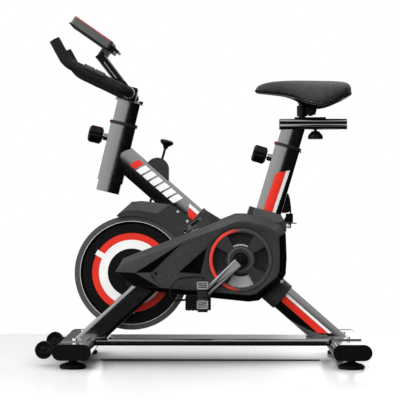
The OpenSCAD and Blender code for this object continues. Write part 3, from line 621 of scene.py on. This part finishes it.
def frame_films():
    film("seat_tube_red", SEAT, [(-98, -14.5), (-81.3, 16.4), (-223, 11), (-223.5, -19.5)], RED)
    film("seat_tube_white", SEAT, [(-81, 16.8), (-76, 28), (-222.5, 22.5), (-223, 11.4)], WHITE)
    for name, low, high, material in (("rear_tube_red", -9.4, 13, RED), ("rear_tube_white", -17.8, -9.8, WHITE)):
        stripe = [(700, low), (floor_end(low), low), (floor_end(high), high), (700, high)]
        film(name, MAIN, stripe, material)
    film("front_tube_white", MAIN, [(268, -30), (311, -30), (311, -19.8), (273.4, -19.8)], WHITE)
    film("front_tube_red", MAIN, [(273.6, -19.4), (311, -19.4), (311, 4.8), (290.7, 4.8)], RED)
    # equal slanted bars along the upper tube, the first one red
    width, gap = 21.8, 6.5
    for i in range(7):
        s = 36 + i * (width + gap)
        bar = [(s, 4), (s + 12, -29), (s + 12 + width, -29), (s + width, 4)]
        film(f"tube_bar_{i}", MAIN, bar, WHITE if i else RED)


def flywheel_films():
    for side, label in ((-1, "left"), (1, "right")):
        def ring(name, inner, outer, material, low=8.0, high=8.5):
            profile = [(inner, side * low), (outer, side * low), (outer, side * high), (inner, side * high)]
            bm = lathe(profile, (AXLE.x, 0, AXLE.z), (0, 1, 0), 128)
            piece(f"{name}_{label}", bm, material, "flywheel_set")
        ring("wheel_red_ring", 108, 130, RED)
        ring("wheel_white_ring", 79, 107.8, WHITE)

        # three plain white bars, evenly spaced, across the red ring
        centre = Vector((AXLE.x, AXLE.z))
        for k, turn in enumerate((30, 150, 270)):
            a = math.radians(turn)
            radial, across = Vector((math.cos(a), math.sin(a))), Vector((-math.sin(a), math.cos(a)))
            ends = ((104, -9), (134, -9), (134, 9), (104, 9))
            corners = [tuple(centre + radial * r + across * t) for r, t in ends]
            bm = slab(corners, *sorted((side * 8.2, side * 8.9)))
            piece(f"wheel_bar_{label}_{k}", bm, WHITE, "flywheel_set")


# ---- saddle ----

def curve_through(rows, x):
    """Smooth values at x from rows of (x, value, value, ...), Catmull-Rom between the rows."""
    i = max(1, next((k for k, row in enumerate(rows) if row[0] >= x), len(rows) - 1))
    a, b = rows[i - 1], rows[i]
    before, after = rows[max(0, i - 2)], rows[min(len(rows) - 1, i + 1)]
    u = (x - a[0]) / (b[0] - a[0])
    result = []
    for k in range(1, len(a)):
        m0 = (b[k] - before[k]) / (b[0] - before[0]) * (b[0] - a[0])
        m1 = (after[k] - a[k]) / (after[0] - a[0]) * (b[0] - a[0])
        result.append((2 * u ** 3 - 3 * u ** 2 + 1) * a[k] + (u ** 3 - 2 * u ** 2 + u) * m0
                      + (-2 * u ** 3 + 3 * u ** 2) * b[k] + (u ** 3 - u ** 2) * m1)
    return result


# along the saddle: X, crown height, lower edge height, half width
SADDLE = [(172.5, 892, 886, 4), (175, 896, 884, 9), (181, 902.5, 882, 15), (192, 909, 880.5, 21),
          (225, 917, 877.5, 27), (275, 920, 870.5, 37), (310, 919.5, 858.5, 53), (343, 918.5, 843, 78),
          (376, 917.5, 835.5, 98), (400, 917, 838, 108), (425, 916.5, 845.5, 112), (450, 915.5, 856.5, 107),
          (466, 913.5, 863.5, 94), (475, 910, 868, 79), (480.5, 904, 871.5, 64), (483.5, 897, 874, 48)]
UNDER_Z = 867


def saddle_stations(count):
    """Stations closer together at both ends."""
    first, last = SADDLE[0][0], SADDLE[-1][0]
    for i in range(count):
        u = i / (count - 1)
        x = first + (last - first) * (u - 0.9 * math.sin(2 * math.pi * u) / (2 * math.pi))
        yield (x, *curve_through(SADDLE, x))


def cushion_ring(x, crown, edge, half):
    """One cross-section of the cushion, as a closed loop of points."""
    points = []
    shoulder = edge + 0.25 * (crown - edge)
    for i in range(29):
        a = math.pi * i / 28
        c, s = math.cos(a), math.sin(a)
        y = half * math.copysign(abs(c) ** 0.72, c)
        z = shoulder + (crown - shoulder) * s ** 0.8
        points.append(Vector((x, y, z)))
    floor = max(edge + 1.5, UNDER_Z)
    for i in range(17):
        v = -1 + 2 * i / 16
        lift = (1 - v * v) ** 0.5
        points.append(Vector((x, 0.95 * half * v, edge + (floor - edge) * min(1.0, 1.4 * lift))))
    return points


def loft(rings):
    bm = bmesh.new()
    loops = [[bm.verts.new(p * MM) for p in ring] for ring in rings]
    for a, b in zip(loops, loops[1:]):
        for i in range(len(a)):
            j = (i + 1) % len(a)
            bm.faces.new((a[i], a[j], b[j], b[i]))
    bm.faces.new(loops[0])
    bm.faces.new(reversed(loops[-1]))
    return bm


def apply_modifiers(obj):
    """Replaces the mesh by its result, with the modifiers gone."""
    graph = bpy.context.evaluated_depsgraph_get()
    mesh = bpy.data.meshes.new_from_object(obj.evaluated_get(graph))
    obj.modifiers.clear()
    obj.data = mesh


def puff(obj, pinned, cap, voxel=5.0, pressure=4.0):
    """Cloth pressure fills a padded piece; no point moves more than `cap` millimetres."""
    remesh = obj.modifiers.new("remesh", "REMESH")
    remesh.mode = "VOXEL"
    remesh.voxel_size = voxel * MM
    apply_modifiers(obj)
    rest = [v.co.copy() for v in obj.data.vertices]
    group = obj.vertex_groups.new(name="pinned")
    group.add([v.index for v in obj.data.vertices if pinned(v.co / MM)], 1.0, "REPLACE")
    cloth = obj.modifiers.new("cloth", "CLOTH")
    cloth.settings.use_pressure = True
    cloth.settings.uniform_pressure_force = pressure
    cloth.settings.vertex_group_mass = "pinned"
    cloth.settings.effector_weights.gravity = 0
    for number in range(1, 21):
        bpy.context.scene.frame_set(number)
    apply_modifiers(obj)
    bpy.context.scene.frame_set(1)
    for v, start in zip(obj.data.vertices, rest):
        move = v.co - start
        if move.length > cap * MM:
            v.co = start + move.normalized() * cap * MM
    smooth = obj.modifiers.new("smooth", "SUBSURF")
    smooth.levels = smooth.render_levels = 1
    apply_modifiers(obj)
    obj.data.shade_smooth()


def saddle():
    stations = list(saddle_stations(64))
    shrink = 1.2
    rings = [cushion_ring(x, crown - shrink, edge, max(2.0, half - shrink)) for x, crown, edge, half in stations]
    cushion = piece("saddle_cover", loft(rings), LEATHER, "saddle", 60,
                    ["saddle_cushion", "saddle_shell"])
    nose, tail = SADDLE[0][0], SADDLE[-1][0]
    puff(cushion, lambda p: p.z < curve_through(SADDLE, min(max(p.x, nose), tail))[1] + 9, 4.0)
    # piping round the lower edge, and the moulded base inside it
    edge_path = [Vector((x, 0.955 * half, edge + 1)) for x, crown, edge, half in stations]
    loop = edge_path + [Vector((p.x, -p.y, p.z)) for p in reversed(edge_path)]
    bm = sweep(loop, lambda i: round_section(2.3, 10), closed=True)
    piece("saddle_piping", bm, PIPING, "saddle", 60)
    rings = []
    for x, crown, edge, half in stations[2:-2]:
        floor = max(edge - 1, UNDER_Z - 1)
        ring = [Vector((x, 0.93 * half * side, z)) for side, z in ((1, edge + 1), (1, edge - 3))]
        ring += [Vector((x, 0.93 * half * v, edge - 3 + (floor - edge) * min(1.0, 1.5 * math.sqrt(1 - v * v))))
                 for v in (0.95, 0.8, 0.5, 0, -0.5, -0.8, -0.95)]
        ring += [Vector((x, -0.93 * half, edge - 3)), Vector((x, -0.93 * half, edge + 1))]
        ring += [Vector((x, 0.93 * half * v, edge + 1 + (floor - edge) * min(1.0, 1.5 * math.sqrt(1 - v * v))))
                 for v in (-0.95, -0.8, -0.5, 0, 0.5, 0.8, 0.95)]
        rings.append(ring)
    piece("saddle_base", loft(rings), COLLAR, "saddle", 50)


# ---- handlebar grips ----

# the handlebar's shape: where an arm leaves the cross bar, its rises, bend radii and lengths
BAR = Vector((-235, 0, 871))
ARM_Y, ARM_RISE, GRIP_RISE = 170, 25.5, 61.5
ARM_L, BEND_R, GRIP_L, ELBOW_R = 214, 70, 78.6, 30


def arm_path():
    """Points along the left arm's axis, from the cross bar to the end of the grip, at Y = 0 for the arm."""
    def rise(degrees):
        return Vector((-math.cos(math.radians(degrees)), 0, math.sin(math.radians(degrees))))
    arm = rise(ARM_RISE)
    points = [BAR + Vector((0, y, 0)) for y in (ELBOW_R + 16, ELBOW_R + 8)]
    for i in range(11):
        a = math.radians(9 * i)
        points.append(BAR + Vector((0, ELBOW_R * (1 - math.sin(a)), 0)) + arm * ELBOW_R * (1 - math.cos(a)))
    cut = BEND_R * math.tan(math.radians((GRIP_RISE - ARM_RISE) / 2))
    for i in range(1, 24):
        points.append(BAR + arm * (ELBOW_R + (ARM_L - cut - ELBOW_R) * i / 24))
    normal = rise(ARM_RISE + 90)
    corner = BAR + arm * (ARM_L - cut)
    for i in range(13):
        a = math.radians((GRIP_RISE - ARM_RISE) * i / 12)
        points.append(corner + arm * BEND_R * math.sin(a) + normal * BEND_R * (1 - math.cos(a)))
    start = points[-1]
    for i in range(1, 10):
        points.append(start + rise(GRIP_RISE) * (GRIP_L - cut + 2.6) * i / 9)
    for i in range(1, 6):
        points.append(points[-1] + rise(GRIP_RISE) * 0.45 * (6 - i) / 3)
    return points


def grips():
    path = arm_path()
    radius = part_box("grips")[1].y / MM - ARM_Y - 0.4
    for side, label in ((-1, "left"), (1, "right")):
        points = [Vector((p.x, side * (ARM_Y - p.y), p.z)) for p in path]
        swell = [rng.uniform(-0.35, 0.25) for _ in points]

        def section(i):
            end = max(0, i - (len(points) - 6)) / 5
            start = 0.9 if i == 0 else 1.0
            return round_section(start * (radius + swell[i]) * math.sqrt(max(0.12, 1 - end ** 2.6)), 28)
        bm = sweep(points, section)
        obj = piece(f"foam_grip_{label}", bm, FOAM, "handlebar_assembly", 60, ["grips"])
        dent = bpy.data.textures.get("foam_dents") or bpy.data.textures.new("foam_dents", "CLOUDS")
        dent.noise_scale = 0.02
        smooth = obj.modifiers.new("smooth", "SUBSURF")
        smooth.levels = smooth.render_levels = 1
        uneven = obj.modifiers.new("uneven", "DISPLACE")
        uneven.texture = dent
        uneven.strength = 0.7 * MM
        uneven.mid_level = 0.6
        uneven.texture_coords = "LOCAL"
        apply_modifiers(obj)
        obj.data.shade_smooth()
        profile = [(radius - 3, -2), (radius + 0.8, -2), (radius + 1.3, -1), (radius + 1.3, 1), (radius + 0.8, 2),
                   (radius - 3, 2)]
        bm = lathe(profile, (BAR.x, points[0].y, BAR.z), (0, 1, 0), 64)
        piece(f"grip_ring_{label}", bm, STEEL, "handlebar_assembly")


# ---- pedals' toe cages and straps ----

def pedal_gear(body, side, turn, rise):
    """Open toe cage, strap and buckle round one pedal. Shapes are drawn for a level pedal."""
    axle = joint_point(f"{body.split('_')[1]}_pedal_spin")
    turned = Matrix.Rotation(math.radians(turn), 3, "Y")
    node = f"{body.split('_')[1]}_toe_cage"

    def place(x, y, z):
        return Vector((axle.x, side * y, axle.z)) + turned @ Vector((x, 0, z))

    # cage: three bands side by side, joined at the toe and at the top
    side_view = [(-48, -4), (-72, -7), (-88, -4), (-97, 6), (-98, 22), (-92, 40), (-80, 0.82 * rise),
                 (-62, 0.95 * rise), (-40, rise), (-14, rise), (12, 0.96 * rise)]
    smooth = []
    ahead = side_view[2:] + [side_view[-1]]
    for a, b, c, d in zip([side_view[0]] + side_view, side_view, side_view[1:], ahead):
        for k in range(5):
            u = k / 5
            smooth.append(tuple(0.5 * (2 * b[i] + (c[i] - a[i]) * u
                                       + (2 * a[i] - 5 * b[i] + 4 * c[i] - d[i]) * u ** 2
                                       + (3 * b[i] - a[i] - 3 * c[i] + d[i]) * u ** 3) for i in (0, 1)))
    smooth.append(side_view[-1])
    for k, (offset, width) in enumerate(((-24, 11), (0, 8), (24, 11))):
        waist = [186 + offset * (1 - 0.35 * max(0.0, (x + 60) / 72)) for x, z in smooth]
        points = [place(x, y, z) for (x, z), y in zip(smooth, waist)]
        bm = sweep(points, lambda i: flat_section(width, 2.6, 0.7))
        piece(f"{body}_cage_{k}", bm, BLACK, body, 50, [node])
    for k, (i, reach) in enumerate(((6, 27), (24, 27), (38, 24), (len(smooth) - 2, 18))):
        x, z = smooth[i]
        points = [place(x, y, z) for y in (186 - reach, 186, 186 + reach)]
        piece(f"{body}_rung_{k}", sweep(points, lambda i: round_section(2.2, 12)), BLACK, body)
    # strap: a loop round the pedal's body and over the foot
    loop = []
    for cy, cz, start in ((218.6, -31.4, -90), (218.6, 46, 0), (153, 46, 90), (153, -31.4, 180)):
        for i in range(7):
            a = math.radians(start + 15 * i)
            loop.append((cy + 8.6 * math.cos(a), cz + 8.6 * math.sin(a)))
    points = [place(5, y, z) for y, z in loop]
    bm = sweep(points, lambda i: flat_section(31, 2.2, 0.6), closed=True)
    piece(f"{body}_strap", bm, STRAP, body, 50)
    # ladder buckle over the strap and ribbed grip below it
    for part, z0, z1, ribs in (("buckle", 31, 55, 4), ("lock", -30, -4, 5)):
        outer = 228.9
        bars = [[(left, low), (right, low), (right, high), (left, high)] for left, right, low, high in (
            (-11, 21, z0, z0 + 2.4), (-11, 21, z1 - 2.4, z1), (-12.5, -9, z0, z1), (19, 22.5, z0, z1))]
        half, slant = (1.1, 2) if part == "lock" else (1.2, 0)
        for i in range(ribs):
            z = z0 + 3.5 + (z1 - z0 - 7) * i / (ribs - 1)
            bars.append([(-9, z - half - slant), (19, z - half + slant),
                         (19, z + half + slant), (-9, z + half - slant)])
        for i, bar in enumerate(bars):
            bm = bmesh.new()
            thick = 2.2 if i < 4 else 1.6
            near = [bm.verts.new(place(x, outer + thick, z) * MM) for x, z in bar]
            far = [bm.verts.new(place(x, outer - 0.6, z) * MM) for x, z in bar]
            bm.faces.new(near)
            bm.faces.new(reversed(far))
            for k in range(4):
                bm.faces.new((near[k], near[(k + 1) % 4], far[(k + 1) % 4], far[k]))
            bevel(bm, 0.4, 1)
            # the far pedal's buckle and lock are black instead of grey: painted shade
            piece(f"{body}_{part}_{i}", bm, BUCKLE if side < 0 else BLACK, body)


def far_toe_flap():
    """Solid flap and tread block on the far pedal."""
    flap = [(290, 551), (296, 533), (299, 508), (298, 489), (284, 483), (267, 483), (270, 505), (276, 528),
            (284, 546)]
    block(flap, 168, 204, "pedal_right_flap", BLACK, "pedal_right", "black_plastic", 4)
    tread = [(280, 451), (306, 451), (306, 481), (284, 481)]
    block(tread, 164, 208, "pedal_right_tread", RUBBER, "pedal_right", "black_plastic", 3)


# ---- small parts ----

def block(outline, y0, y1, name, material, body, slot, edge=0.8):
    piece(name, slab(outline, y0, y1, edge), material, body)


def arc_plate(name, inner, outer, start, stop, y, material):
    """A thin curved plate round the crank."""
    outline = circle(CRANK.x, CRANK.z, outer, 40, start, stop)
    outline += circle(CRANK.x, CRANK.z, inner, 40, stop, start)
    block(outline, y - 1, y, name, material, "root", "cover_plastic", 0.3)


def inner_shield():
    """Grey guard seen through two of the disc's openings."""
    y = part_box("cover_disc")[1].y / MM + 3.5
    arc_plate("shield_low", 53, 91, -121, -59, y, SHIELD)
    arc_plate("shield_high", 38, 51, 62, 118, y, SHIELD)


def tube_fittings():
    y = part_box("tube_collars")[0].y / MM
    # panel on the shroud at the seat tube
    block([(168, 504), (250, 480.5), (263, 462), (246, 453), (160, 474)], y - 1.6, y, "shroud_panel", COLLAR,
          "root", "cover_plastic")
    # clip with a screw where the front tube goes into the covers; its recess is a thin black sheet of painted shade
    block([(-51, 443.5), (-33, 457), (-8, 473), (4, 462), (-12, 447), (-32, 433), (-50, 427)], -35.5, -31.4,
          "collar_clip", COLLAR, "root", "cover_plastic", 1.2)
    block([(-34, 441), (-9, 459), (-15, 465), (-40, 449)], -36.2, -35.2,
          "collar_recess_shade", BLACK, "root", "cover_plastic", 0.3)
    head = lathe([(0, 0), (3.6, 0), (4.2, 0.6), (4.2, 1.6), (3.4, 2.2), (0, 2.2)], (-16, -38.2, 451), (0, 1, 0), 24)
    piece("collar_screw", head, DARK_METAL, "root")
    # plate over the upper end of the left fork leg
    block([(-36, 429), (1, 470.5), (16, 469), (31, 455), (-10, 438.6)], -75.2, -73.3, "leg_end_plate", COVER,
          "root", "cover_plastic", 0.5)
    # black cap over the end of the crank's axle
    low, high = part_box("crank_arms")
    for y, way, label in ((low.y / MM, -1, "left"), (high.y / MM, 1, "right")):
        profile = [(0, -1), (9.6, -1), (10, 1.2), (8.6, 2.6), (4, 3.4), (0, 3.6)]
        bm = lathe([(r, way * h) for r, h in profile], (CRANK.x, y, CRANK.z), (0, 1, 0), 48)
        piece(f"axle_cap_{label}", bm, RUBBER, "crank_set")


def guard_panels():
    """Lighter upper panel on each side of the flywheel guard."""
    low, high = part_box("flywheel_guard")
    outline = [(-279, 480), (-239, 515), (-202, 523.5), (-173, 521.5), (-106, 513), (-148, 484),
               (-211, 494), (-250, 493)]
    for y, way, label in ((low.y / MM, -1, "left"), (high.y / MM, 1, "right")):
        block(outline, *sorted((y - way * 0.3, y + way * 0.8)), f"guard_panel_{label}", COLLAR,
              "root", "cover_plastic", 0.3)


def along_tube(point, lean, x, z):
    """A point given in a leaning tube's own directions: x across it, z along it."""
    a = math.radians(lean)
    return Vector((point[0] + x * math.cos(a) + z * math.sin(a), 0, point[1] - x * math.sin(a) + z * math.cos(a)))


def red_tabs():
    """Red ends of the liners that show in front of and behind each post."""
    head, seat = ((-304.5, 588), 13.46), ((280.3, 705.4), 16.5)
    for label, (point, lean), x, z in (("head_front", head, -46.2, 194.5), ("seat_front", seat, -45.4, -2),
                                       ("seat_back", seat, 45.4, -8)):
        tab = ((-1.6, -3), (1.6, -3), (1.6, 3), (-1.6, 3))
        corners = [along_tube(point, lean, x + dx, z + dz) for dx, dz in tab]
        block([(c.x, c.z) for c in corners], -9, 9, f"red_tab_{label}", RED_PLASTIC, "root", "red_plastic", 0.6)


def bracket_highlight_rods():
    """Light grey rods along the rolled edges of the console's channel: painted highlights."""
    low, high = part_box("console_bracket")
    foot, lean = (-262, 905), -37.4
    for side in (-1, 1):
        for k, (x, z0, z1) in enumerate(((12.6, 6, 112), (-3, 30, 96), (-14.6, 14, 118))):
            a, b = along_tube(foot, lean, x, z0), along_tube(foot, lean, x, z1)
            points = [a + (b - a) * i / 6 + Vector((0, side * 23, 0)) for i in range(7)]
            bm = sweep(points, lambda i: round_section(1.5 if k else 1.9, 12))
            label = "left" if side < 0 else "right"
            # the light grey finish on these rods is a painted highlight
            piece(f"bracket_highlight_rod_{label}_{k}", bm, SHIELD if k else BUCKLE, "handlebar_assembly")


left_cover()
fading_ring()
frame_films()
flywheel_films()
saddle()
grips()
pedal_gear("pedal_left", -1, 0, 66)
pedal_gear("pedal_right", 1, 90, 50)
inner_shield()
tube_fittings()
red_tabs()
bracket_highlight_rods()
guard_panels()
far_toe_flap()

# ---- stage, light and camera ----

def stage():
    bm = bmesh.new()
    corners = [(-6, -5, -0.0003), (6, -5, -0.0003), (6, 0.858, -0.0003), (-6, 0.858, -0.0003)]
    bm.faces.new([bm.verts.new(c) for c in corners])
    mesh = bpy.data.meshes.new("floor")
    bm.to_mesh(mesh)
    bm.free()
    floor = bpy.data.objects.new("floor", mesh)
    bpy.context.scene.collection.objects.link(floor)
    s = surface("floor_paint", (0.8, 0.8, 0.8), 0.16, mottle=0.01)
    # the deep, soft shadow that gathers along the bike's middle line
    split = s.add("ShaderNodeSeparateXYZ")
    s.link(s.place, split.inputs[0])
    off = s.math("ABSOLUTE", s.math("SUBTRACT", split.outputs["Y"], 0.0155), 0.0)
    ahead = s.math("ABSOLUTE", s.math("SUBTRACT", split.outputs["X"], 0.0245), 0.0)
    line = s.math("MULTIPLY", s.ramp(off, 0.018, 0.042, 1.0, 0.0), s.ramp(ahead, 0.36, 0.425, 1.0, 0.0))
    fade = s.ramp(off, 0.0, 0.32, 0.9, 0.0)
    pool = s.math("MULTIPLY", s.math("MULTIPLY", fade, fade), s.ramp(ahead, 0.38, 0.62, 1.0, 0.0))
    old = s.bsdf.inputs["Base Color"].links[0].from_socket
    dark = s.math("MAXIMUM", line, pool)
    s.link(s.mix(dark, old, (0.0, 0.0, 0.0)), s.bsdf.inputs["Base Color"])
    s.link(s.math("SUBTRACT", 0.5, s.math("MULTIPLY", dark, 0.5)), s.bsdf.inputs["Specular IOR Level"])
    mesh.materials.append(s.material)
    floor.visible_glossy = False
    floor.visible_diffuse = False


def area_light(name, place, target, size, power):
    data = bpy.data.lights.new(name, "AREA")
    data.shape = "RECTANGLE"
    data.size, data.size_y = size
    data.energy = power
    light = bpy.data.objects.new(name, data)
    light.location = place
    light.rotation_euler = (Vector(target) - Vector(place)).to_track_quat("-Z", "Y").to_euler()
    bpy.context.scene.collection.objects.link(light)


def studio():
    """White to the eye. Light and reflections come from the upper left, and the lower right is dark."""
    world = bpy.data.worlds.new("studio")
    bpy.context.scene.world = world
    world.use_nodes = True
    tree = world.node_tree
    link = tree.links.new

    def node(kind, **settings):
        made = tree.nodes.new(kind)
        for key, value in settings.items():
            setattr(made, key, value)
        return made

    direction = node("ShaderNodeTexCoord").outputs["Generated"]

    def facing(*towards):
        dot = node("ShaderNodeVectorMath", operation="DOT_PRODUCT")
        dot.inputs[1].default_value = towards
        link(direction, dot.inputs[0])
        return dot.outputs["Value"]

    def ramp(value, *stops):
        """Brightness along a value from -1 to 1."""
        spread = node("ShaderNodeMapRange")
        spread.inputs["From Min"].default_value = -1.0
        link(value, spread.inputs["Value"])
        colors = node("ShaderNodeValToRGB")
        while len(colors.color_ramp.elements) < len(stops):
            colors.color_ramp.elements.new(0.5)
        for element, (position, bright) in zip(colors.color_ramp.elements, stops):
            element.position = position / 2 + 0.5
            element.color = (bright, bright, bright, 1)
        link(spread.outputs["Result"], colors.inputs["Fac"])
        return colors.outputs["Color"]

    def mix(factor, a, b):
        made = node("ShaderNodeMix", data_type="RGBA")
        for socket, value in zip((made.inputs[0], made.inputs[6], made.inputs[7]), (factor, a, b)):
            if isinstance(value, tuple):
                socket.default_value = (*value, 1)
            else:
                link(value, socket)
        return made.outputs[2]

    upper_left = facing(-0.5, 0.0, 0.87)
    soft = ramp(upper_left, (-1, 0.02), (-0.15, 0.05), (0.3, 1.9), (1, 2.4))
    near = ramp(upper_left, (-1, 0.0), (0.005, 0.01), (0.11, 2.2), (0.5, 2.8), (1, 3.2))
    behind = ramp(facing(1.0, 0.0, 0.0), (-1, 0.1), (-0.06, 0.14), (0.04, 0.45), (0.1, 1.3), (1, 1.3))
    glossy = mix(ramp(facing(0.0, 1.0, 0.0), (-1, 0), (0.6, 0), (0.85, 1), (1, 1)), near, behind)
    path = node("ShaderNodeLightPath")
    light = mix(path.outputs["Is Glossy Ray"], soft, glossy)
    link(mix(path.outputs["Is Camera Ray"], light, (1.0, 1.0, 1.0)), tree.nodes["Background"].inputs["Color"])
    area_light("key", (-2.2, -2.6, 3.2), (0, 0, 0.5), (1.6, 1.2), 40)
    bpy.context.scene.view_settings.view_transform = "Standard"


def camera():
    data = bpy.data.cameras.new("camera")
    data.lens = 121
    data.sensor_width = 36
    obj = bpy.data.objects.new("camera", data)
    bpy.context.scene.collection.objects.link(obj)
    obj.location = (0.0435, -4.42, 0.538)
    aim = Vector((-0.009, 0, 0.528)) - obj.location
    obj.rotation_euler = aim.to_track_quat("-Z", "Y").to_euler()
    bpy.context.scene.camera = obj


stage()
studio()
camera()
